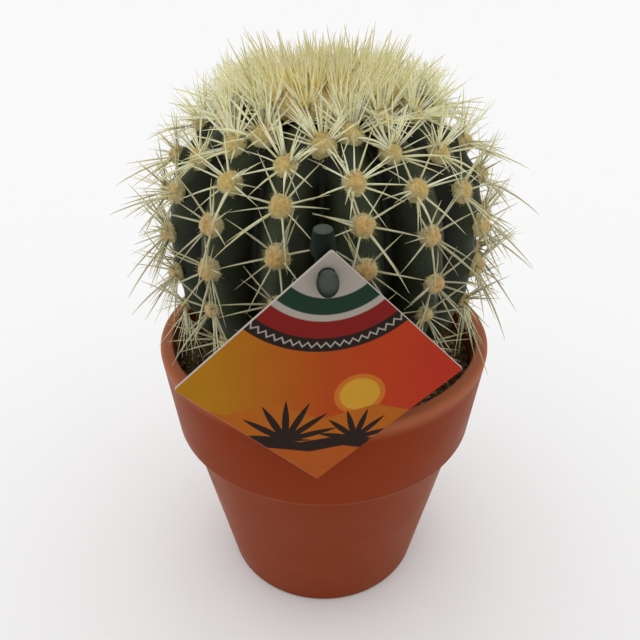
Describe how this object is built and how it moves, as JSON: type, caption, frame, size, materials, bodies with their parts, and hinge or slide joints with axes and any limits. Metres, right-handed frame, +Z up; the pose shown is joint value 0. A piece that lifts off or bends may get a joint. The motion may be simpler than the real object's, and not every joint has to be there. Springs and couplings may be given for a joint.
{
  "type": "potted round cactus",
  "caption": "Round golden cactus with ribs, woolly areoles and radiating spines, growing in a tapered pot with a collar, with a hanging diamond tag on a stake.",
  "frame": {"origin": "middle of the pot's underside, on the pot's axis", "axes": "+Z up along the pot's axis, -Y towards the front where the tag hangs, +X to the viewer's right"},
  "size_m": [0.104, 0.1021, 0.1476],
  "materials": {
    "pot_plastic": "satin",
    "potting_soil": "matte",
    "cactus_skin": "matte",
    "spines_and_wool": "matte",
    "stake_plastic": "satin",
    "tag_card": "satin"
  },
  "bodies": {
    "root": {"pot": "pot_plastic", "soil": "potting_soil", "cactus": "cactus_skin", "crown": "spines_and_wool", "stake": "stake_plastic", "tag": "tag_card"}
  },
  "joints": []
}
